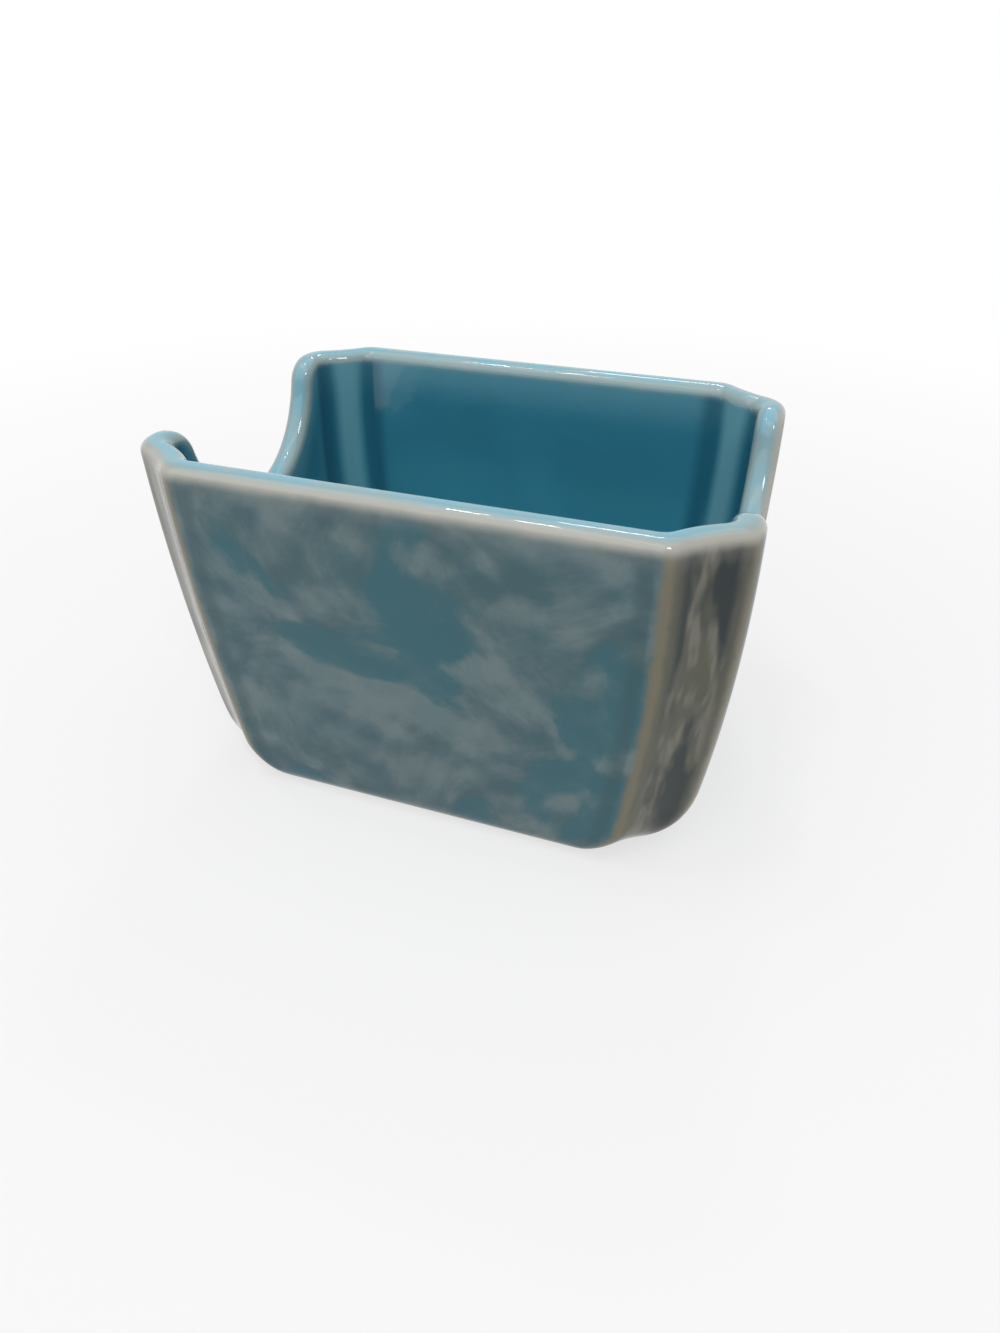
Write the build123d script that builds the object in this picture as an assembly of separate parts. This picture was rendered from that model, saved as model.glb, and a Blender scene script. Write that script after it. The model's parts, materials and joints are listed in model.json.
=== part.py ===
"""Sugar packet holder: a stoneware casting with fluted corners and notched ends, under a coat of glaze."""
import os
from math import atan2, cos, degrees, hypot, radians, sin, sqrt

from build123d import *

# Size of the glazed piece at its rim in millimetres, X along the length, Y across it, Z up from the table
LENGTH = 91.3
WIDTH = 67.0
HEIGHT = 60.0

# Thickness of the glazed walls and floor, and of the glaze itself
WALL = 4.6
FLOOR = 5.2
GLAZE = 0.4

# Lean of the walls, which is how far in each one stands at the table, and the bow of the ends halfway up
END_LEAN = 3.3
END_BOW = 1.6
FRONT_LEAN = 2.7

# Corner flutes: each takes the corner off square to an angle from the X axis, then is hollowed
FLUTE_ANGLE = 53.5
FLUTE_CUT = 6.0
FLUTE_HOLLOW_SHARE = 0.062
RIDGE_RADIUS = 3.8
INNER_RIDGE_RADIUS = 3.0

# Round lower edges outside, and the coves in the well as a share of them
END_FOOT = 12.2
FRONT_FOOT = 4.4
FLUTE_FOOT = 8.3
COVE_SHARE = 0.8

# Posts that stand beside each end notch, from the ridge to the notch, with a rounded lip
POST_SPAN = 8.1
LIP_RADIUS = 5.0

# Flat left on the crest of the rounded rim
RIM_FLAT = 0.6

# Dry foot: ground flat, bare below the glaze line, and a ring round a shallow recess
FOOT_GRIND = 0.3
GLAZE_LINE = 1.0
FOOT_RING = 4.0
RECESS_DEPTH = 0.8
RECESS_CORNER = 1.2

# How the shapes are made: steps round a foot, spare stock above the rim, and how closely faces are picked
FOOT_STEPS = 5
STOCK = 2.0
PICK = 0.1

# Sizes that follow from those above
FLUTE_ALONG = cos(radians(FLUTE_ANGLE))
FLUTE_ACROSS = sin(radians(FLUTE_ANGLE))
FEET = (END_FOOT, FRONT_FOOT, FLUTE_FOOT)
COVES = tuple(COVE_SHARE * foot for foot in FEET)
NOTCH_RADIUS = WIDTH / 2 - FLUTE_CUT / FLUTE_ACROSS - POST_SPAN
RIM_ROUND = (WALL - RIM_FLAT) / 2


def round_edge(height, radius):
    """Setback of a round lower edge at a height above its flat."""
    below = max(radius - height, 0.0)
    return radius - sqrt(radius**2 - below**2)


def flute_arcs(front_ridge, end_ridge):
    """The four hollow corners, anticlockwise, from the two ridges of the one at +X +Y."""
    chord = hypot(end_ridge[0] - front_ridge[0], end_ridge[1] - front_ridge[1])
    hollow = FLUTE_HOLLOW_SHARE * chord
    middle = (
        (front_ridge[0] + end_ridge[0]) / 2 - hollow * FLUTE_ALONG,
        (front_ridge[1] + end_ridge[1]) / 2 - hollow * FLUTE_ACROSS,
    )
    arcs = []
    for side_x, side_y in ((1, 1), (-1, 1), (-1, -1), (1, -1)):
        points = [(side_x * x, side_y * y) for x, y in (end_ridge, middle, front_ridge)]
        if side_x != side_y:
            points.reverse()
        arcs.append(ThreePointArc(*points))
    return arcs


def plan(z, inset, base, edges, ridge):
    """A level section of the walls, drawn in by an inset, with round lower edges that start at a base."""
    drop = 1 - z / HEIGHT
    end_edge, front_edge, flute_edge = (round_edge(z - base, radius) for radius in edges)
    end_wall = LENGTH / 2 - END_LEAN * drop + 4 * END_BOW * drop * (1 - drop)
    front_wall = WIDTH / 2 - FRONT_LEAN * drop
    flute_wall = end_wall * FLUTE_ALONG + front_wall * FLUTE_ACROSS - FLUTE_CUT
    half_length = end_wall - end_edge - inset
    half_width = front_wall - front_edge - inset
    reach = flute_wall - flute_edge - inset
    front_ridge = ((reach - half_width * FLUTE_ACROSS) / FLUTE_ALONG, half_width)
    end_ridge = (half_length, (reach - half_length * FLUTE_ALONG) / FLUTE_ACROSS)
    arcs = flute_arcs(front_ridge, end_ridge)
    outline = []
    for arc, following in zip(arcs, arcs[1:] + arcs[:1]):
        outline += [arc, Line(arc @ 1, following @ 0)]
    sharp = make_face(outline)
    return Pos(0, 0, z) * fillet(sharp.vertices(), ridge)


def block(inset, base, top, edges, ridge):
    """The solid within the walls, from a base to a level top, lofted through evenly spaced sections."""
    tallest = max(edges)
    turns = [radians(90 * step / FOOT_STEPS) for step in range(FOOT_STEPS + 1)]
    levels = [base + tallest * (1 - cos(turn)) for turn in turns]
    straight = top - levels[-1]
    steps = round(straight / (tallest * turns[1]))
    levels += [top - straight * (1 - (step + 1) / steps) for step in range(steps)]
    return loft([plan(z, inset, base, edges, ridge) for z in levels])


def rim_cutter(skin):
    """All that lies above the rim: a flat top that dips through the two end notches."""
    top = HEIGHT - skin
    above = HEIGHT + 3 * STOCK
    lip_side = sqrt((NOTCH_RADIUS + LIP_RADIUS) ** 2 - LIP_RADIUS**2)
    lip_height = HEIGHT - LIP_RADIUS
    lip = LIP_RADIUS - skin
    dip = degrees(atan2(LIP_RADIUS, lip_side))
    profile = [
        CenterArc((lip_side, lip_height), lip, 90, 90 - dip),
        CenterArc((0, HEIGHT), NOTCH_RADIUS + skin, 180 + dip, 180 - 2 * dip),
        CenterArc((-lip_side, lip_height), lip, dip, 90 - dip),
        Line((-lip_side, top), (-WIDTH, top)),
        Line((-WIDTH, top), (-WIDTH, above)),
        Line((-WIDTH, above), (WIDTH, above)),
        Line((WIDTH, above), (WIDTH, top)),
        Line((WIDTH, top), (lip_side, top)),
    ]
    return extrude(Plane.YZ * make_face(profile), amount=LENGTH, both=True)


def rim_edges(walls, skin):
    """The two closed chains of edges, outside and inside, along the cut rim."""
    top = HEIGHT - skin
    crest = walls.faces().filter_by_position(Axis.Z, top - PICK, top + PICK)
    curves = (NOTCH_RADIUS + skin, LIP_RADIUS - skin)
    for face in walls.faces().filter_by(GeomType.CYLINDER):
        if min(abs(face.radius - curve) for curve in curves) < PICK:
            crest.append(face)
    found = [edge for face in crest for edge in face.edges()]
    return [edge for edge in found if sum(edge.is_same(other) for other in found) == 1]


def shell(skin):
    """The walls and floor, with every surface but the underside drawn into the clay by a skin."""
    outside = block(skin, -FOOT_GRIND, HEIGHT + STOCK, FEET, RIDGE_RADIUS)
    ground_off = Pos(0, 0, -STOCK / 2) * Box(LENGTH, WIDTH, STOCK)
    well = block(WALL - skin, FLOOR - skin, HEIGHT + 2 * STOCK, COVES, INNER_RIDGE_RADIUS)
    walls = outside - ground_off - well - rim_cutter(skin)
    return fillet(rim_edges(walls, skin), RIM_ROUND - skin)


def stoneware_body(casting):
    """The fired clay, with a shallow recess under the floor."""
    recess = extrude(plan(0.0, GLAZE + FOOT_RING, 0.0, FEET, RECESS_CORNER), RECESS_DEPTH)
    return casting - recess


def glaze_coat(casting):
    """The glass skin over the clay, wiped off below the glaze line."""
    wiped = Pos(0, 0, GLAZE_LINE / 2) * Box(LENGTH, WIDTH, GLAZE_LINE)
    return shell(0.0) - casting - wiped


os.makedirs("parts", exist_ok=True)
clay = shell(GLAZE)
export_step(stoneware_body(clay), "parts/stoneware_body.step")
export_step(glaze_coat(clay), "parts/glaze_coat.step")
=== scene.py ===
"""Looks of a small glazed sugar packet holder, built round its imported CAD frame."""
from __future__ import annotations

import json
import logging
import math
from dataclasses import dataclass, field, fields
from enum import Enum

import bpy
from mathutils import Matrix, Vector

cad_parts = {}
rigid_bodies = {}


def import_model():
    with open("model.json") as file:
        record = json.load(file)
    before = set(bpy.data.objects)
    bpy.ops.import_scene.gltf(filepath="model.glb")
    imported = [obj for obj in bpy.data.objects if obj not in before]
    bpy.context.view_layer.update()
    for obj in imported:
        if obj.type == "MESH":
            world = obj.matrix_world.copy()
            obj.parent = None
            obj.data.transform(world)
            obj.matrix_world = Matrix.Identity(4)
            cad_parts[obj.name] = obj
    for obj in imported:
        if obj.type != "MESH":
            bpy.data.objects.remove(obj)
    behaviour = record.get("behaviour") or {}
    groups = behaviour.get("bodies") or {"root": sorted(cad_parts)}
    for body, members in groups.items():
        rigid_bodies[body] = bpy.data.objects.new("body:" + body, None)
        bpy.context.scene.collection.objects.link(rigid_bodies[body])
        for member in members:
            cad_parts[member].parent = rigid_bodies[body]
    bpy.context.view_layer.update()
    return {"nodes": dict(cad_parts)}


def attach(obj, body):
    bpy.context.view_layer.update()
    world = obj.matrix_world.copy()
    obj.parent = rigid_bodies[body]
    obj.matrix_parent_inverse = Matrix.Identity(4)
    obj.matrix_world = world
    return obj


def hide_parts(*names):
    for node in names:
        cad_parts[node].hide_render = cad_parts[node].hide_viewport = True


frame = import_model()

LOG = logging.getLogger("sugar_packet_holder")
MM = 0.001

Socket = bpy.types.NodeSocket
Colour = tuple[float, float, float, float]
Place = tuple[float, float, float]
Band = tuple[float, float]

WHITE: Colour = (1.0, 1.0, 1.0, 1.0)


class Measure(Enum):
    """Measures that the glaze mesh carries for its finish.

    RIM is the distance from the crest of the rim in millimetres. FLUTE is the distance from the nearest
    ridge in millimetres, above 0 in a flute and below 0 on a wall. OUTSIDE falls from 1 outside to 0 in
    the well.
    """

    RIM = "rim_distance"
    FLUTE = "flute_distance"
    OUTSIDE = "outside_share"


@dataclass(frozen=True)
class Grain:
    """A cloudy noise: blotches in a metre, its finer layers, how strong those are and how far it swirls."""

    scale: float
    detail: float = 4.0
    rough: float = 0.5
    bend: float = 0.0


class Field:
    """A number that varies over a surface: the output of a node in a tree."""

    def __init__(self, sheet: Sheet, socket: Socket) -> None:
        """Keeps the output and the tree it belongs to.

        Args:
            sheet: The tree that the output is in.
            socket: The output itself.
        """
        self.sheet = sheet
        self.socket = socket

    def __add__(self, other: Value) -> Field:
        """The sum of the two."""
        return self.sheet.maths("ADD", self, other)

    def __radd__(self, other: Value) -> Field:
        """The sum of the two."""
        return self.sheet.maths("ADD", other, self)

    def __sub__(self, other: Value) -> Field:
        """This less the other."""
        return self.sheet.maths("SUBTRACT", self, other)

    def __rsub__(self, other: Value) -> Field:
        """The other less this."""
        return self.sheet.maths("SUBTRACT", other, self)

    def __mul__(self, other: Value) -> Field:
        """The product of the two."""
        return self.sheet.maths("MULTIPLY", self, other)

    def __truediv__(self, other: Value) -> Field:
        """This over the other."""
        return self.sheet.maths("DIVIDE", self, other)

    def __neg__(self) -> Field:
        """The same with its sign changed."""
        return self.sheet.maths("MULTIPLY", self, -1.0)

    def at_least(self, low: Value) -> Field:
        """The larger of the two."""
        return self.sheet.maths("MAXIMUM", self, low)

    def at_most(self, high: Value) -> Field:
        """The smaller of the two."""
        return self.sheet.maths("MINIMUM", self, high)

    def within(self, low: Value, high: Value) -> Field:
        """The number held between two limits."""
        return self.at_least(low).at_most(high)

    def root(self) -> Field:
        """The square root."""
        return self.sheet.maths("SQRT", self)

    def size(self) -> Field:
        """The number without its sign."""
        return self.sheet.maths("ABSOLUTE", self)

    def sine(self) -> Field:
        """The sine of an angle in radians."""
        return self.sheet.maths("SINE", self)

    def cosine(self) -> Field:
        """The cosine of an angle in radians."""
        return self.sheet.maths("COSINE", self)


Value = Field | float


class Sheet:
    """A node tree that is being drawn up, with short ways to add nodes and sums."""

    def __init__(self, tree: bpy.types.NodeTree) -> None:
        """Starts on a tree.

        Args:
            tree: The tree to add to.
        """
        self.tree = tree

    def node(self, kind: str, inputs: dict | None = None, **settings: object) -> bpy.types.Node:
        """Adds a node.

        Args:
            kind: Blender's name for the node type.
            inputs: Values or fields for its inputs, by name or number.
            settings: Options of the node itself.

        Returns:
            The new node.
        """
        made = self.tree.nodes.new(kind)
        for name, value in settings.items():
            setattr(made, name, value)
        for name, value in (inputs or {}).items():
            self.feed(made.inputs[name], value)
        return made

    def feed(self, socket: Socket, value: object) -> None:
        """Gives an input a link or a plain value.

        Args:
            socket: The input.
            value: A field or an output to link, or a plain value to set.
        """
        if isinstance(value, Field):
            value = value.socket
        if isinstance(value, Socket):
            self.tree.links.new(value, socket)
        else:
            socket.default_value = value

    def maths(self, operation: str, *values: Value) -> Field:
        """Adds a sum.

        Args:
            operation: Blender's name for the sum.
            values: What goes into it.

        Returns:
            The result.
        """
        made = self.node("ShaderNodeMath", dict(enumerate(values)), operation=operation)
        return Field(self, made.outputs[0])

    def turn(self, across: Value, along: Value) -> Field:
        """The angle of a direction, in radians, from its two parts."""
        return self.maths("ARCTAN2", across, along)

    def between(self, start: Value, end: Value, share: Value) -> Field:
        """The number part of the way from a start to an end."""
        return start + (end - start) * share

    def ramp(self, value: Value, band: Band, results: Band = (0.0, 1.0)) -> Field:
        """Adds a smooth step.

        Args:
            value: The number to read.
            band: Where the step begins and where it ends.
            results: The result before it and the result after it.

        Returns:
            The stepped number.
        """
        inputs = {"Value": value, "From Min": band[0], "From Max": band[1]}
        inputs |= {"To Min": results[0], "To Max": results[1]}
        made = self.node("ShaderNodeMapRange", inputs, interpolation_type="SMOOTHSTEP")
        return Field(self, made.outputs[0])

    def mix(self, share: Value, first: object, second: object) -> Socket:
        """Adds a mix of two colours.

        Args:
            share: How much of the second colour, from 0 to 1.
            first: A colour or the output that gives it.
            second: A colour or the output that gives it.

        Returns:
            The output with the mixed colour.
        """
        return self.node("ShaderNodeMix", {0: share, 6: first, 7: second}, data_type="RGBA").outputs[2]

    def noise(self, place: Socket, grain: Grain) -> Field:
        """Adds a cloudy noise.

        Args:
            place: The output that gives the place on the piece.
            grain: What the noise is like.

        Returns:
            The noise, from 0 to 1.
        """
        inputs = {"Vector": place, "Scale": grain.scale, "Detail": grain.detail}
        inputs |= {"Roughness": grain.rough, "Distortion": grain.bend}
        return Field(self, self.node("ShaderNodeTexNoise", inputs).outputs[0])

    def moved(self, place: Socket, shift: Place, stretch: Place = (1.0, 1.0, 1.0)) -> Socket:
        """Adds a change of place.

        Args:
            place: The output that gives the place on the piece.
            shift: How far the place is moved, in metres, after it is stretched.
            stretch: What the place is multiplied by.

        Returns:
            The output with the new place.
        """
        inputs = {"Vector": place, "Location": shift, "Scale": stretch}
        return self.node("ShaderNodeMapping", inputs).outputs[0]

    def measure(self, which: Measure) -> Field:
        """A measure that the mesh carries."""
        return Field(self, self.node("ShaderNodeAttribute", attribute_name=which.value).outputs["Fac"])

    def seen(self) -> Field:
        """Tells a look from plain lighting.

        Returns:
            1 where a surface is looked at, straight or by way of a gloss, and 0 where it only sends light.
        """
        path = self.node("ShaderNodeLightPath")
        straight = Field(self, path.outputs["Is Camera Ray"])
        gloss = Field(self, path.outputs["Is Glossy Ray"])
        through = Field(self, path.outputs["Is Transmission Ray"])
        return straight.at_least(gloss).at_least(through)


class FinishSheet(Sheet):
    """The node sheet of a new material, with its shader and the place on the piece."""

    def __init__(self, name: str) -> None:
        """Starts a material.

        Args:
            name: The finish's name.
        """
        self.material = bpy.data.materials.new(name)
        self.material.use_nodes = True
        super().__init__(self.material.node_tree)
        self.shader = self.tree.nodes["Principled BSDF"]
        self.place = self.node("ShaderNodeTexCoord").outputs["Object"]

    def bump(self, height: Field, strength: float, distance: float) -> None:
        """Adds fine relief to the shader.

        Args:
            height: The relief, from 0 to 1.
            strength: How much of it shows.
            distance: How deep it is in metres.
        """
        made = self.node("ShaderNodeBump", {"Strength": strength, "Distance": distance, "Height": height})
        self.feed(self.shader.inputs["Normal"], made.outputs[0])


@dataclass(frozen=True)
class WellGlaze:
    """The clear glaze of the well: lighter low down as painted light, lighter on the bulges as painted
    reflection, darker along the inner ridges where glaze pools and painted shade falls, and even on the
    floor.

    Distances from the rim and from the ridges are in millimetres. Heights are in metres.
    """

    clear: Colour = (0.034, 0.200, 0.288, 1.0)
    # Painted light: the lighter colour low in the well.
    deep: Colour = (0.048, 0.268, 0.362, 1.0)
    # Lighter tone: used near the rim, and as painted reflection on the inner bulges.
    light: Colour = (0.160, 0.380, 0.450, 1.0)
    # Darker tone: used for the drift, and for glaze pooled with painted shade along the inner ridges.
    pool: Colour = (0.010, 0.078, 0.128, 1.0)
    deep_band: Band = (0.046, 0.028)
    drift: Grain = Grain(40.0, 3.0, 0.5, 0.4)
    drift_band: Band = (0.3, 0.7)
    drift_share: float = 0.2
    rim_band: Band = (11.0, 2.5)
    rim_share: float = 0.5
    floor_band: Band = (0.006, 0.016)
    # Glaze pooled along the inner ridges, with painted shade.
    pool_middle: float = -0.6
    pool_band: Band = (3.4, 0.4)
    pool_share: float = 0.62
    # Painted reflection on the inner bulges.
    bulge_band: Band = (0.9, 3.4)
    bulge_share: float = 0.8

    def colour(self, sheet: FinishSheet) -> Socket:
        """Draws the colour up.

        Args:
            sheet: The finish's node sheet.

        Returns:
            The output with the colour.
        """
        flute = sheet.measure(Measure.FLUTE)
        height = Field(sheet, sheet.node("ShaderNodeSeparateXYZ", {0: sheet.place}).outputs["Z"])
        # Painted light: the glaze turns lighter from a height of 46 mm down to 28 mm.
        colour = sheet.mix(sheet.ramp(height, self.deep_band), self.clear, self.deep)
        drift = sheet.ramp(sheet.noise(sheet.place, self.drift), self.drift_band)
        colour = sheet.mix(drift * self.drift_share, colour, self.pool)
        near_rim = sheet.ramp(sheet.measure(Measure.RIM), self.rim_band)
        colour = sheet.mix(near_rim * self.rim_share, colour, self.light)
        above_floor = sheet.ramp(height, self.floor_band)
        # Glaze pooled along the inner ridges, darkened further as painted shade.
        pool = sheet.ramp((flute - self.pool_middle).size(), self.pool_band)
        colour = sheet.mix(pool * above_floor * self.pool_share, colour, self.pool)
        # Painted reflection: the inner bulges are lighter.
        bulge_reflection = sheet.ramp(flute, self.bulge_band)
        return sheet.mix(bulge_reflection * above_floor * self.bulge_share, colour, self.light)


@dataclass(frozen=True)
class WallClouds:
    """The outer glaze, pooled darker beside the ridges, with clouds that are palest on their upper edges.

    Distances from the rim and from the ridges are in millimetres. Shifts are in metres.
    """

    clear: Colour = (0.0125, 0.102, 0.134, 1.0)
    pool: Colour = (0.010, 0.060, 0.076, 1.0)
    pale: Colour = (0.118, 0.175, 0.184, 1.0)
    shade: Colour = (0.034, 0.090, 0.107, 1.0)
    shift: Place = (0.58, 0.20, 0.0)
    step_up: Place = (0.0, 0.0, 0.0035)
    mass: Grain = Grain(42.0, 6.0, 0.54, 0.6)
    puff_scale: float = 150.0
    puff_smoothness: float = 0.5
    puff_depth: float = 0.17
    wisps: Grain = Grain(110.0, 5.0, 0.62, 0.3)
    wisp_light: float = 0.30
    wisp_dark: float = 0.12
    pale_band: Band = (-0.09, 0.15)
    rim_band: Band = (18.0, 6.0)
    rim_gain: float = 0.08
    cover_band: Band = (0.32, 0.42)
    cover_share: float = 0.75
    wisp_band: Band = (0.36, 0.64)
    wisp_share: float = 0.25
    pool_near: Band = (-1.4, -2.2)
    pool_far: Band = (-5.0, -3.0)
    pool_share: float = 0.5

    def billow(self, sheet: FinishSheet, place: Socket) -> Field:
        """How thick the clouds are, in rounded puffs.

        Args:
            sheet: The finish's node sheet.
            place: The output that gives the place among the clouds.

        Returns:
            The thickness.
        """
        inputs = {"Vector": place, "Scale": self.puff_scale, "Smoothness": self.puff_smoothness}
        puffs = sheet.node("ShaderNodeTexVoronoi", inputs, feature="SMOOTH_F1")
        return sheet.noise(place, self.mass) - Field(sheet, puffs.outputs["Distance"]) * self.puff_depth

    def colour(self, sheet: FinishSheet) -> Socket:
        """Draws the colour up.

        Args:
            sheet: The finish's node sheet.

        Returns:
            The output with the colour.
        """
        here = sheet.moved(sheet.place, self.shift)
        above = sheet.moved(here, self.step_up)
        billow = self.billow(sheet, here)
        wisps = sheet.noise(here, self.wisps)
        lit = billow - self.billow(sheet, above) + wisps * self.wisp_light - self.wisp_dark
        clouds = sheet.mix(sheet.ramp(lit, self.pale_band), self.shade, self.pale)
        near_rim = sheet.ramp(sheet.measure(Measure.RIM), self.rim_band)
        cover = sheet.ramp(billow + near_rim * self.rim_gain, self.cover_band) * self.cover_share
        cover = cover + sheet.ramp(wisps, self.wisp_band) * self.wisp_share
        colour = sheet.mix(cover, self.clear, clouds)
        flute = sheet.measure(Measure.FLUTE)
        pool = sheet.ramp(flute, self.pool_near) * sheet.ramp(flute, self.pool_far)
        return sheet.mix(pool * self.pool_share, colour, self.pool)


@dataclass(frozen=True)
class FluteShadeAndReflections:
    """The outer flutes as painted shade: a dark warm grey, with painted reflections of dark things in
    patches and of bright things in streaks down it.

    Distances from the ridges are in millimetres. The shift is in metres.
    """

    # Painted shade and reflection: the flutes' dark warm grey.
    grey: Colour = (0.072, 0.075, 0.050, 1.0)
    # Painted reflection of dark things.
    dark: Colour = (0.0005, 0.012, 0.014, 1.0)
    # Painted reflection of bright things, in streaks.
    light: Colour = (0.165, 0.160, 0.128, 1.0)
    shift: Place = (-0.0017, -0.0013, -0.0015)
    stretch: Place = (1.0, 1.0, 0.25)
    patches: Grain = Grain(140.0, 3.0, 0.5, 0.1)
    patch_band: Band = (0.50, 0.60)
    streaks: Grain = Grain(330.0, 2.0, 0.5, 0.1)
    streak_band: Band = (0.48, 0.62)
    streak_share: float = 0.8
    edge_band: Band = (-0.6, 0.6)
    inner_band: Band = (1.2, 3.2)

    def colour(self, sheet: FinishSheet, outer: Field, under: Socket) -> Socket:
        """Draws the colour up over the one beneath.

        Args:
            sheet: The finish's node sheet.
            outer: How far outside a point is, from 0 to 1.
            under: The output with the colour beneath.

        Returns:
            The output with the colour.
        """
        flute = sheet.measure(Measure.FLUTE)
        upright = sheet.moved(sheet.place, self.shift, self.stretch)
        # Painted shade: the outer flutes turn dark warm grey.
        colour = sheet.mix(sheet.ramp(flute, self.edge_band) * outer, under, self.grey)
        inside = sheet.ramp(flute, self.inner_band) * outer
        # Painted reflection of bright things, in streaks down the flute.
        streaks = sheet.ramp(sheet.noise(upright, self.streaks), self.streak_band)
        colour = sheet.mix(streaks * inside * self.streak_share, colour, self.light)
        # Painted reflection of dark things, in patches.
        patches = sheet.ramp(sheet.noise(upright, self.patches), self.patch_band)
        return sheet.mix(patches * inside, colour, self.dark)


@dataclass(frozen=True)
class EdgeGlaze:
    """The thin glaze of the outer ridges and of the rim, tan on its shoulders, with a painted reflection of
    blue sky on its crest.

    Distances from the rim and from the ridges are in millimetres.
    """

    tan: Colour = (0.160, 0.145, 0.094, 1.0)
    inner_shoulder: Colour = (0.260, 0.350, 0.350, 1.0)
    shoulder: Colour = (0.415, 0.405, 0.360, 1.0)
    # Painted reflection of blue sky on the crest.
    crest: Colour = (0.150, 0.360, 0.450, 1.0)
    wander: Grain = Grain(260.0, 3.0)
    wander_middle: float = 0.5
    rim_wander: float = 0.7
    ridge_wander: float = 1.4
    crest_wander: float = 0.06
    tan_band: Band = (1.6, 0.1)
    tan_share: float = 0.95
    inner_band: Band = (3.9, 2.0)
    shoulder_band: Band = (3.8, 1.6)
    shoulder_share: float = 0.85
    tail_band: Band = (6.0, 2.6)
    tail_share: float = 0.15
    blush: Grain = Grain(120.0, 3.0, 0.6)
    blush_band: Band = (0.40, 0.60)
    blush_shares: Band = (0.45, 1.0)
    crest_inner: Band = (0.04, 0.30)
    crest_outer: Band = (0.92, 0.48)

    def colour(self, sheet: FinishSheet, outer: Field, under: Socket) -> Socket:
        """Draws the colour up over the one beneath.

        Args:
            sheet: The finish's node sheet.
            outer: How far outside a point is, from 0 to 1.
            under: The output with the colour beneath.

        Returns:
            The output with the colour.
        """
        wander = sheet.noise(sheet.place, self.wander) - self.wander_middle
        rim = sheet.measure(Measure.RIM) + wander * self.rim_wander
        ridge = sheet.measure(Measure.FLUTE).size() + wander * self.ridge_wander
        outside = sheet.measure(Measure.OUTSIDE) + wander * self.crest_wander
        colour = sheet.mix(sheet.ramp(ridge, self.tan_band) * outer * self.tan_share, under, self.tan)
        inner = sheet.ramp(rim, self.inner_band) * (1.0 - outer)
        colour = sheet.mix(inner, colour, self.inner_shoulder)
        fade = sheet.ramp(rim, self.shoulder_band) * self.shoulder_share
        fade = fade + sheet.ramp(rim, self.tail_band) * self.tail_share
        colour = sheet.mix(fade * outer, colour, self.shoulder)
        # Painted reflection of blue sky on the crest of the rim, stronger in patches.
        blush = sheet.ramp(sheet.noise(sheet.place, self.blush), self.blush_band, self.blush_shares)
        crest = sheet.ramp(outside, self.crest_inner) * sheet.ramp(outside, self.crest_outer)
        return sheet.mix(crest * blush, colour, self.crest)


@dataclass(frozen=True)
class TurquoiseGlaze:
    """A glossy turquoise glaze, clear in the well, clouded outside and thinned to tan on the edges."""

    well: WellGlaze = WellGlaze()
    walls: WallClouds = WallClouds()
    flutes: FluteShadeAndReflections = FluteShadeAndReflections()
    edges: EdgeGlaze = EdgeGlaze()
    outer_band: Band = (0.5, 1.0)
    polish: Grain = Grain(900.0, 2.0)
    polish_band: Band = (0.3, 0.7)
    roughness: Band = (0.05, 0.10)
    ripple: Grain = Grain(130.0, 2.0)
    pinholes: Grain = Grain(1500.0, 1.0)
    pinhole_share: float = 0.04
    relief_strength: float = 0.35
    relief_depth: float = 0.0004
    refraction: float = 1.5

    def make(self) -> bpy.types.Material:
        """Draws the finish up.

        Returns:
            The glaze material.
        """
        sheet = FinishSheet("turquoise_glaze")
        outer = sheet.ramp(sheet.measure(Measure.OUTSIDE), self.outer_band)
        colour = sheet.mix(outer, self.well.colour(sheet), self.walls.colour(sheet))
        colour = self.flutes.colour(sheet, outer, colour)
        colour = self.edges.colour(sheet, outer, colour)
        sheet.feed(sheet.shader.inputs["Base Color"], colour)
        polish = sheet.ramp(sheet.noise(sheet.place, self.polish), self.polish_band, self.roughness)
        sheet.feed(sheet.shader.inputs["Roughness"], polish)
        pinholes = sheet.noise(sheet.place, self.pinholes) * self.pinhole_share
        relief = sheet.noise(sheet.place, self.ripple) + pinholes
        sheet.bump(relief, self.relief_strength, self.relief_depth)
        sheet.feed(sheet.shader.inputs["IOR"], self.refraction)
        return sheet.material


@dataclass(frozen=True)
class BareStoneware:
    """Matte fired clay with fine speckles, seen where the foot is left bare."""

    clay: Colour = (0.58, 0.49, 0.36, 1.0)
    shade: Colour = (0.42, 0.33, 0.23, 1.0)
    speck: Colour = (0.16, 0.11, 0.07, 1.0)
    blotches: Grain = Grain(90.0)
    blotch_band: Band = (0.35, 0.65)
    specks: Grain = Grain(1700.0, 2.0)
    speck_band: Band = (0.66, 0.72)
    tooth: Grain = Grain(900.0, 5.0, 0.6)
    tooth_band: Band = (0.3, 0.7)
    roughness: Band = (0.72, 0.9)
    relief_strength: float = 0.5
    relief_depth: float = 0.0002

    def make(self) -> bpy.types.Material:
        """Draws the finish up.

        Returns:
            The clay material.
        """
        sheet = FinishSheet("bare_stoneware")
        tooth = sheet.noise(sheet.place, self.tooth)
        blotches = sheet.ramp(sheet.noise(sheet.place, self.blotches), self.blotch_band)
        specks = sheet.ramp(sheet.noise(sheet.place, self.specks), self.speck_band)
        colour = sheet.mix(specks, sheet.mix(blotches, self.clay, self.shade), self.speck)
        sheet.feed(sheet.shader.inputs["Base Color"], colour)
        sheet.feed(sheet.shader.inputs["Roughness"], sheet.ramp(tooth, self.tooth_band, self.roughness))
        sheet.bump(tooth, self.relief_strength, self.relief_depth)
        return sheet.material


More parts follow.
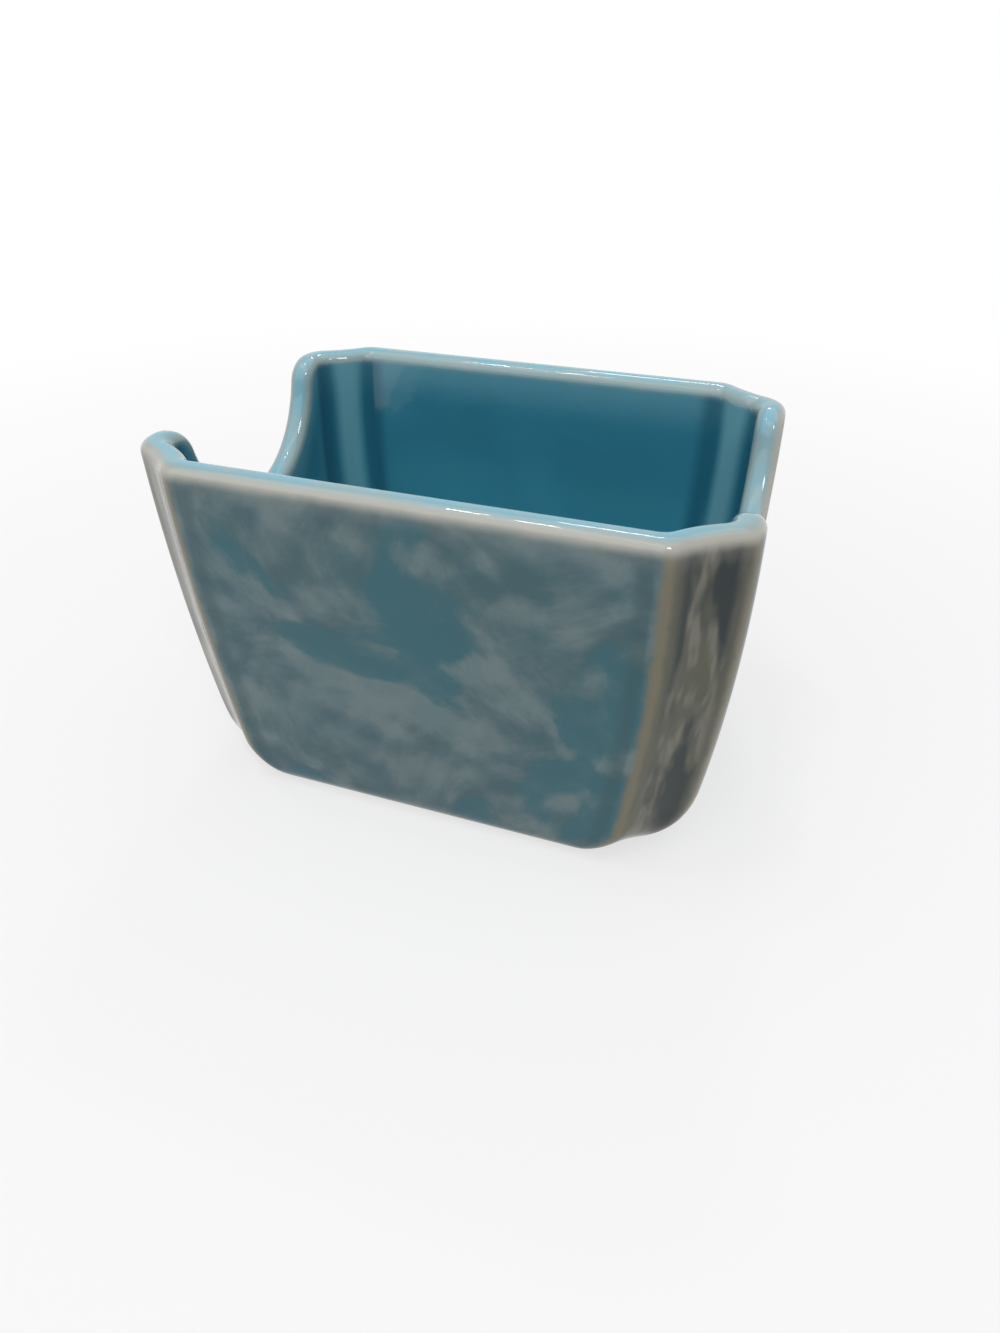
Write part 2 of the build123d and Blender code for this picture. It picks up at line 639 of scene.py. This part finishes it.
@dataclass(frozen=True)
class PaleFloor:
    """A plain pale floor that turns white away from the piece and keeps its shadow near it."""

    paint: Colour = (0.68, 0.68, 0.68, 1.0)
    roughness: float = 0.9
    shine: float = 0.1
    reach_band: Band = (0.06, 0.36)
    white_shares: Band = (0.66, 1.0)

    def make(self) -> bpy.types.Material:
        """Draws the finish up.

        Returns:
            The floor material.
        """
        sheet = FinishSheet("pale_floor")
        sheet.feed(sheet.shader.inputs["Base Color"], self.paint)
        sheet.feed(sheet.shader.inputs["Roughness"], self.roughness)
        sheet.feed(sheet.shader.inputs["Specular IOR Level"], self.shine)
        length = sheet.node("ShaderNodeVectorMath", {0: sheet.place}, operation="LENGTH")
        reach = Field(sheet, length.outputs["Value"])
        share = sheet.seen() * sheet.ramp(reach, self.reach_band, self.white_shares)
        glow = sheet.node("ShaderNodeEmission", {"Color": WHITE, "Strength": 1.0})
        inputs = {0: share, 1: sheet.shader.outputs[0], 2: glow.outputs[0]}
        both = sheet.node("ShaderNodeMixShader", inputs)
        sheet.feed(sheet.tree.nodes["Material Output"].inputs["Surface"], both.outputs[0])
        return sheet.material


@dataclass(frozen=True)
class HolderSizes:
    """Sizes of the holder in millimetres, with its flute angle in degrees and two shares."""

    length: float = 91.3
    width: float = 67.0
    height: float = 60.0
    wall: float = 4.6
    floor: float = 5.2
    end_lean: float = 3.3
    end_bow: float = 1.6
    front_lean: float = 2.7
    flute_angle: float = 53.5
    flute_cut: float = 6.0
    flute_hollow_share: float = 0.062
    ridge_radius: float = 3.8
    inner_ridge_radius: float = 3.0
    end_foot: float = 12.2
    front_foot: float = 4.4
    flute_foot: float = 8.3
    cove_share: float = 0.8
    post_span: float = 8.1
    lip_radius: float = 5.0
    rim_round: float = 2.0
    foot_grind: float = 0.3
    glaze_line: float = 1.0


@dataclass
class Section:
    """A level section through one quarter of the walls, as fields over the mesh."""

    half_width: Field
    half_length: Field
    hollow_radius: Field
    front_ridge_x: Field
    end_ridge_y: Field
    front_turn: Field
    end_turn: Field
    ridge: Field


@dataclass
class GlazeCoat:
    """The glaze over the whole holder but its foot, drawn by one rule from foot to rim to well.

    The columns run from the middle of the front over its ridge, the flute and the end's ridge to the middle
    of the end. The rows run up the wall, over the rim, down the well and in to the middle of its floor.
    """

    sizes: HolderSizes = field(default_factory=HolderSizes)
    finish: TurquoiseGlaze = field(default_factory=TurquoiseGlaze)
    thickness: float = 0.4
    columns: tuple[int, ...] = (26, 10, 16, 12, 34)
    rows: tuple[int, ...] = (38, 15, 34, 6)
    weld: float = 0.002
    sharp_angle: float = 50.0

    def steps(self, counter: Field, counts: tuple[int, ...]) -> list[Field]:
        """How far a counter has gone through each of several runs.

        Args:
            counter: The column or row number.
            counts: How many steps each run has.

        Returns:
            For each run, 0 before it, rising to 1 at its end.
        """
        shares = []
        start = 0
        for count in counts:
            shares.append(((counter - float(start)) / float(count)).within(0.0, 1.0))
            start += count
        return shares

    def setback(self, radius: Field, height: Field) -> Field:
        """How far a round lower edge stands back.

        Args:
            radius: Radius of the edge.
            height: Height above the flat where the edge starts.

        Returns:
            The distance that it stands back at that height.
        """
        below = (radius - height).within(0.0, radius)
        return radius - (radius * radius - below * below).root()

    def section(self, sheet: Sheet, size: dict[str, Field], height: Field, across: Field) -> Section:
        """Works out a level section of the walls.

        Args:
            sheet: The tree to draw in.
            size: The holder's sizes.
            height: Height of the section.
            across: How far through the wall it lies, 0 outside and 1 in the well.

        Returns:
            The section's sizes.
        """
        angle = sheet.maths("RADIANS", size["flute_angle"])
        along, over = angle.cosine(), angle.sine()
        inset = size["wall"] * across
        drop = 1.0 - height / size["height"]
        above = height - sheet.between(-size["foot_grind"], size["floor"], across)
        shrink = sheet.between(1.0, size["cove_share"], across)
        end_edge, front_edge, flute_edge = (
            self.setback(size[foot] * shrink, above) for foot in ("end_foot", "front_foot", "flute_foot")
        )
        bow = size["end_bow"] * drop * (1.0 - drop) * 4.0
        end_wall = size["length"] / 2.0 - size["end_lean"] * drop + bow
        front_wall = size["width"] / 2.0 - size["front_lean"] * drop
        flute_wall = end_wall * along + front_wall * over - size["flute_cut"]
        half_length = end_wall - end_edge - inset
        half_width = front_wall - front_edge - inset
        reach = flute_wall - flute_edge - inset
        front_x = (reach - half_width * over) / along
        end_y = (reach - half_length * along) / over
        run, rise = half_length - front_x, half_width - end_y
        chord = (run * run + rise * rise).root()
        share = size["flute_hollow_share"]
        radius = chord * ((share * share + 0.25) / (share * 2.0))
        stand = radius - share * chord
        middle_x = (front_x + half_length) / 2.0 + along * stand
        middle_y = (end_y + half_width) / 2.0 + over * stand
        ridge = sheet.between(size["ridge_radius"], size["inner_ridge_radius"], across)
        swing = radius + ridge
        drop_y = half_width - ridge - middle_y
        drop_x = half_length - ridge - middle_x
        back_x = (swing * swing - drop_y * drop_y).root()
        back_y = (swing * swing - drop_x * drop_x).root()
        return Section(
            half_width=half_width,
            half_length=half_length,
            hollow_radius=radius,
            front_ridge_x=middle_x - back_x,
            end_ridge_y=middle_y - back_y,
            front_turn=sheet.turn(drop_y, -back_x),
            end_turn=sheet.turn(-back_y, drop_x),
            ridge=ridge,
        )

    def rim_path(
        self, sheet: Sheet, size: dict[str, Field], start: Field, along_end: Field, depth: Field
    ) -> tuple[Field, Field]:
        """Follows the rim over a post and down into the notch.

        Args:
            sheet: The tree to draw in.
            size: The holder's sizes.
            start: How far from the middle of the end wall the rim starts.
            along_end: How far the column stands from there to the middle of the notch, from 0 to 1.
            depth: How far below the rim the row runs.

        Returns:
            Distance from the middle of the end wall, and height.
        """
        angle = sheet.maths("RADIANS", size["flute_angle"])
        notch = size["width"] / 2.0 - size["flute_cut"] / angle.sine() - size["post_span"]
        lip = size["lip_radius"]
        lip_side = ((notch + lip) * (notch + lip) - lip * lip).root()
        dip = sheet.turn(lip, lip_side)
        quarter = math.pi / 2.0 - dip
        flat = (start - lip_side).at_least(0.0)
        first = sheet.maths("ARCSINE", ((lip_side - start) / lip).at_least(0.0))
        lip_turn = quarter - first
        gone = along_end * (flat + lip * lip_turn + notch * quarter)
        past_flat = gone.at_most(flat)
        past_lip = ((gone - flat) / lip).within(0.0, lip_turn)
        down_notch = ((gone - flat - lip * lip_turn) / notch).within(0.0, quarter)
        lean = past_lip * quarter / lip_turn - down_notch
        over_lip = first + past_lip
        swing = dip + down_notch
        side = start - past_flat - lip * (over_lip.sine() - first.sine())
        side = side - notch * (dip.cosine() - swing.cosine())
        level = size["height"] - lip * (first.cosine() - over_lip.cosine())
        level = level - notch * (swing.sine() - dip.sine())
        return side + lean.sine() * depth, level - lean.cosine() * depth

    def quarter(self, sheet: Sheet, size: dict[str, Field]) -> Socket:
        """Draws one quarter of the glaze as a grid laid over the walls, the rim and the well.

        Args:
            sheet: The tree to draw in.
            size: The holder's sizes.

        Returns:
            The output with the quarter's mesh.
        """
        column_count, row_count = sum(self.columns) + 1, sum(self.rows) + 1
        grid = sheet.node("GeometryNodeMeshGrid", {"Vertices X": column_count, "Vertices Y": row_count})
        index = Field(sheet, sheet.node("GeometryNodeInputIndex").outputs[0])
        column = sheet.maths("FLOOR", index / float(row_count))
        front, front_ridge, flute, end_ridge, end = self.steps(column, self.columns)
        up, over, down, inwards = self.steps(index - column * float(row_count), self.rows)

        roll = over * math.pi
        half_flat = size["wall"] / 2.0 - size["rim_round"]
        side = ((0.5 - over) * (2.0 * self.rows[1])).within(-1.0, 1.0)
        across = 0.5 - (size["rim_round"] * roll.cosine() + half_flat * side) / size["wall"]
        depth = size["rim_round"] * (1.0 - roll.sine())
        fall = (up * math.pi).cosine() * 0.5 - (down * math.pi).cosine() * 0.5 + 1.0

        top = self.section(sheet, size, size["height"], across)
        path_y, path_z = self.rim_path(sheet, size, top.end_ridge_y, end, depth)
        bottom = sheet.between(size["glaze_line"], size["floor"], across)
        height = sheet.between(path_z, bottom, fall)
        here = self.section(sheet, size, height, across)

        first = here.front_turn + math.pi
        last = here.end_turn + math.pi
        front_angle = sheet.between(math.pi / 2.0, first, front_ridge)
        flute_angle = sheet.between(here.front_turn, here.end_turn, flute)
        end_angle = sheet.between(last, 0.0, end_ridge)
        x = here.front_ridge_x * front + here.ridge * front_angle.cosine()
        x = x + here.hollow_radius * (flute_angle.cosine() - here.front_turn.cosine())
        x = x + here.ridge * (end_angle.cosine() - last.cosine())
        y = here.half_width + here.ridge * (front_angle.sine() - 1.0)
        y = y + here.hollow_radius * (flute_angle.sine() - here.front_turn.sine())
        y = y + here.ridge * (end_angle.sine() - last.sine()) - here.end_ridge_y * end
        y = y + (path_y - top.end_ridge_y * (1.0 - end)) * (1.0 - fall)
        shrink = (1.0 - inwards) * MM
        place = sheet.node("ShaderNodeCombineXYZ", {0: x * shrink, 1: y * shrink, 2: height * MM})
        laying = {"Geometry": grid.outputs["Mesh"], "Position": place.outputs[0]}
        mesh = sheet.node("GeometryNodeSetPosition", laying).outputs[0]

        front_arc = here.ridge * (math.pi / 2.0 - first)
        end_arc = here.ridge * last
        flute_arc = here.hollow_radius * (here.end_turn - here.front_turn)
        past_front = here.front_ridge_x * (front - 1.0) + front_arc * (front_ridge - 0.5) + flute_arc * flute
        before_end = flute_arc * (1.0 - flute) + end_arc * (0.5 - end_ridge) - here.end_ridge_y * end
        round_rim = (roll - math.pi / 2.0).size() * size["rim_round"]
        measures = {
            Measure.RIM: round_rim + (path_z - bottom) * fall,
            Measure.FLUTE: past_front.at_most(before_end),
            Measure.OUTSIDE: 1.0 - across,
        }
        for which, amount in measures.items():
            inputs = {"Geometry": mesh, "Name": which.value, "Value": amount}
            store = sheet.node("GeometryNodeStoreNamedAttribute", inputs, data_type="FLOAT", domain="POINT")
            mesh = store.outputs[0]
        return mesh

    def tree(self, material: bpy.types.Material) -> tuple[bpy.types.NodeTree, dict[str, str]]:
        """Draws up the node tree of the whole coat.

        Args:
            material: The glaze material.

        Returns:
            The tree, and the identifier of each size's input by the size's name.
        """
        tree = bpy.data.node_groups.new("glaze_coat_rule", "GeometryNodeTree")
        tree.interface.new_socket("Geometry", in_out="OUTPUT", socket_type="NodeSocketGeometry")
        identifiers = {}
        for item in fields(self.sizes):
            title = item.name.replace("_", " ").title()
            socket = tree.interface.new_socket(title, in_out="INPUT", socket_type="NodeSocketFloat")
            identifiers[item.name] = socket.identifier
        sheet = Sheet(tree)
        given = sheet.node("NodeGroupInput")
        size = {name: Field(sheet, given.outputs[order]) for order, name in enumerate(identifiers)}

        def after(kind: str, inputs: dict) -> Socket:
            """The first output of a new node."""
            return sheet.node(kind, inputs).outputs[0]

        quarter = self.quarter(sheet, size)
        turned = after("GeometryNodeFlipFaces", {"Mesh": quarter})
        mirrored = after("GeometryNodeTransform", {"Geometry": quarter, "Scale": (-1.0, 1.0, 1.0)})
        half = sheet.node("GeometryNodeJoinGeometry")
        for part in (turned, mirrored):
            tree.links.new(part, half.inputs[0])
        pair = after("GeometryNodeMeshLine", {"Count": 2, "Offset": (0.0, 0.0, 0.0)})
        order = Field(sheet, sheet.node("GeometryNodeInputIndex").outputs[0])
        spin = after("ShaderNodeCombineXYZ", {2: order * math.pi})
        copies = {"Points": pair, "Instance": half.outputs[0], "Rotation": spin}
        whole = after("GeometryNodeInstanceOnPoints", copies)
        real = after("GeometryNodeRealizeInstances", {"Geometry": whole})
        welded = after("GeometryNodeMergeByDistance", {"Geometry": real, "Distance": self.weld * MM})
        smooth = after("GeometryNodeSetShadeSmooth", {"Geometry": welded})
        dressed = after("GeometryNodeSetMaterial", {"Geometry": smooth, "Material": material})
        result = sheet.node("NodeGroupOutput")
        tree.links.new(dressed, result.inputs[0])
        return tree, identifiers

    def build(self) -> bpy.types.Object:
        """Makes the coat as a plain mesh of its real thickness and sets it in the frame.

        Returns:
            The finished piece.
        """
        tree, identifiers = self.tree(self.finish.make())
        piece = bpy.data.objects.new("glaze", bpy.data.meshes.new("glaze_start"))
        bpy.context.scene.collection.objects.link(piece)
        rule = piece.modifiers.new("rule", "NODES")
        rule.node_group = tree
        for name, identifier in identifiers.items():
            rule[identifier] = getattr(self.sizes, name)
        skin = piece.modifiers.new("skin", "SOLIDIFY")
        skin.thickness = self.thickness * MM
        skin.offset = -1.0
        bpy.context.view_layer.update()
        evaluated = piece.evaluated_get(bpy.context.evaluated_depsgraph_get())
        mesh = bpy.data.meshes.new_from_object(evaluated)
        piece.modifiers.clear()
        mesh.name = "glaze"
        mesh.set_sharp_from_angle(angle=math.radians(self.sharp_angle))
        piece.data = mesh
        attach(piece, "root")
        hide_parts("glaze_coat")
        LOG.info("glaze: %d faces", len(mesh.polygons))
        return piece


@dataclass
class StonewareBody:
    """The fired clay casting, which shows only at its bare foot."""

    node: str = "stoneware_body"
    finish: BareStoneware = field(default_factory=BareStoneware)

    def dress(self) -> bpy.types.Object:
        """Gives the casting its clay finish.

        Returns:
            The CAD node that was dressed.
        """
        casting = frame["nodes"][self.node]
        casting.data.materials.clear()
        casting.data.materials.append(self.finish.make())
        LOG.info("stoneware body: dressed")
        return casting


@dataclass(frozen=True)
class Softbox:
    """A flat studio lamp that is aimed at the holder, with its sizes in metres and its power in watts."""

    name: str
    place: Place
    size: tuple[float, float]
    power: float
    aim: Place = (0.0, 0.0, 0.03)

    def hang(self) -> bpy.types.Object:
        """Hangs the lamp.

        Returns:
            The lamp.
        """
        lamp = bpy.data.lights.new(self.name, "AREA")
        lamp.shape = "RECTANGLE"
        lamp.size, lamp.size_y = self.size
        lamp.energy = self.power
        hung = bpy.data.objects.new(self.name, lamp)
        hung.location = self.place
        hung.rotation_euler = (Vector(self.aim) - Vector(self.place)).to_track_quat("-Z", "Y").to_euler()
        bpy.context.scene.collection.objects.link(hung)
        return hung


@dataclass
class Studio:
    """A pale floor, soft light and a camera that stands as the photographer did.

    The floor is in metres, the eye in millimetres, angles in degrees and the lens in the picture's pixels.
    """

    floor_side: float = 6.0
    sky: float = 0.35
    eye: Place = (43.31, -120.55, 104.20)
    azimuth: float = 18.316
    elevation: float = 35.952
    roll: float = 0.470
    focal_pixels: float = 817.78
    picture_pixels: float = 1333.0
    sensor: float = 36.0
    clip: Band = (0.005, 50.0)
    floor_finish: PaleFloor = field(default_factory=PaleFloor)
    lamps: tuple[Softbox, ...] = (
        Softbox("key", (-0.28, -0.62, 0.78), (1.4, 1.0), 4.6),
        Softbox("panel", (0.43, -0.53, 0.74), (0.18, 0.18), 1.6),
        Softbox("top", (0.05, 0.05, 0.95), (1.2, 1.2), 4.5),
        Softbox("window", (-0.10, 0.60, 0.75), (0.16, 0.06), 0.8),
        Softbox("left_bulb", (-0.30, 0.00, 0.95), (0.05, 0.05), 0.5),
        Softbox("middle_bulb", (-0.20, -0.12, 0.95), (0.05, 0.05), 0.4),
    )

    def lay_floor(self) -> bpy.types.Object:
        """Lays the floor.

        Returns:
            The floor.
        """
        half = self.floor_side / 2.0
        corners = [(-half, -half, 0.0), (half, -half, 0.0), (half, half, 0.0), (-half, half, 0.0)]
        mesh = bpy.data.meshes.new("floor")
        mesh.from_pydata(corners, [], [(0, 1, 2, 3)])
        mesh.materials.append(self.floor_finish.make())
        floor = bpy.data.objects.new("floor", mesh)
        bpy.context.scene.collection.objects.link(floor)
        return floor

    def light(self) -> None:
        """Lights the piece softly, with a white surround where the camera or a gloss sees it."""
        world = bpy.data.worlds.new("studio")
        world.use_nodes = True
        bpy.context.scene.world = world
        sheet = Sheet(world.node_tree)
        ambient = sheet.tree.nodes["Background"]
        sheet.feed(ambient.inputs["Color"], WHITE)
        sheet.feed(ambient.inputs["Strength"], self.sky)
        surround = sheet.node("ShaderNodeBackground", {"Color": WHITE, "Strength": 1.0})
        inputs = {0: sheet.seen(), 1: ambient.outputs[0], 2: surround.outputs[0]}
        both = sheet.node("ShaderNodeMixShader", inputs)
        sheet.feed(sheet.tree.nodes["World Output"].inputs["Surface"], both.outputs[0])
        for lamp in self.lamps:
            lamp.hang()

    def set_camera(self) -> bpy.types.Object:
        """Stands the camera where the photograph was taken from.

        Returns:
            The camera.
        """
        lens = bpy.data.cameras.new("camera")
        lens.sensor_width = self.sensor
        lens.lens = self.focal_pixels * self.sensor / self.picture_pixels
        lens.clip_start, lens.clip_end = self.clip
        camera = bpy.data.objects.new("camera", lens)
        tilt = Matrix.Rotation(math.radians(90.0 - self.elevation), 4, "X")
        swing = Matrix.Rotation(math.radians(self.azimuth), 4, "Z")
        roll = Matrix.Rotation(math.radians(self.roll), 4, "Z")
        camera.matrix_world = Matrix.Translation(Vector(self.eye) * MM) @ swing @ tilt @ roll
        bpy.context.scene.collection.objects.link(camera)
        bpy.context.scene.camera = camera
        return camera

    def set_up(self) -> None:
        """Sets the whole studio up."""
        bpy.context.scene.view_settings.view_transform = "Standard"
        self.lay_floor()
        self.light()
        self.set_camera()
        LOG.info("studio: set up")


def main() -> None:
    """Builds the holder's pieces, dresses them and sets the studio up."""
    logging.basicConfig(level=logging.INFO, format="%(name)s: %(message)s")
    StonewareBody().dress()
    GlazeCoat().build()
    Studio().set_up()


if __name__ == "__main__":
    main()
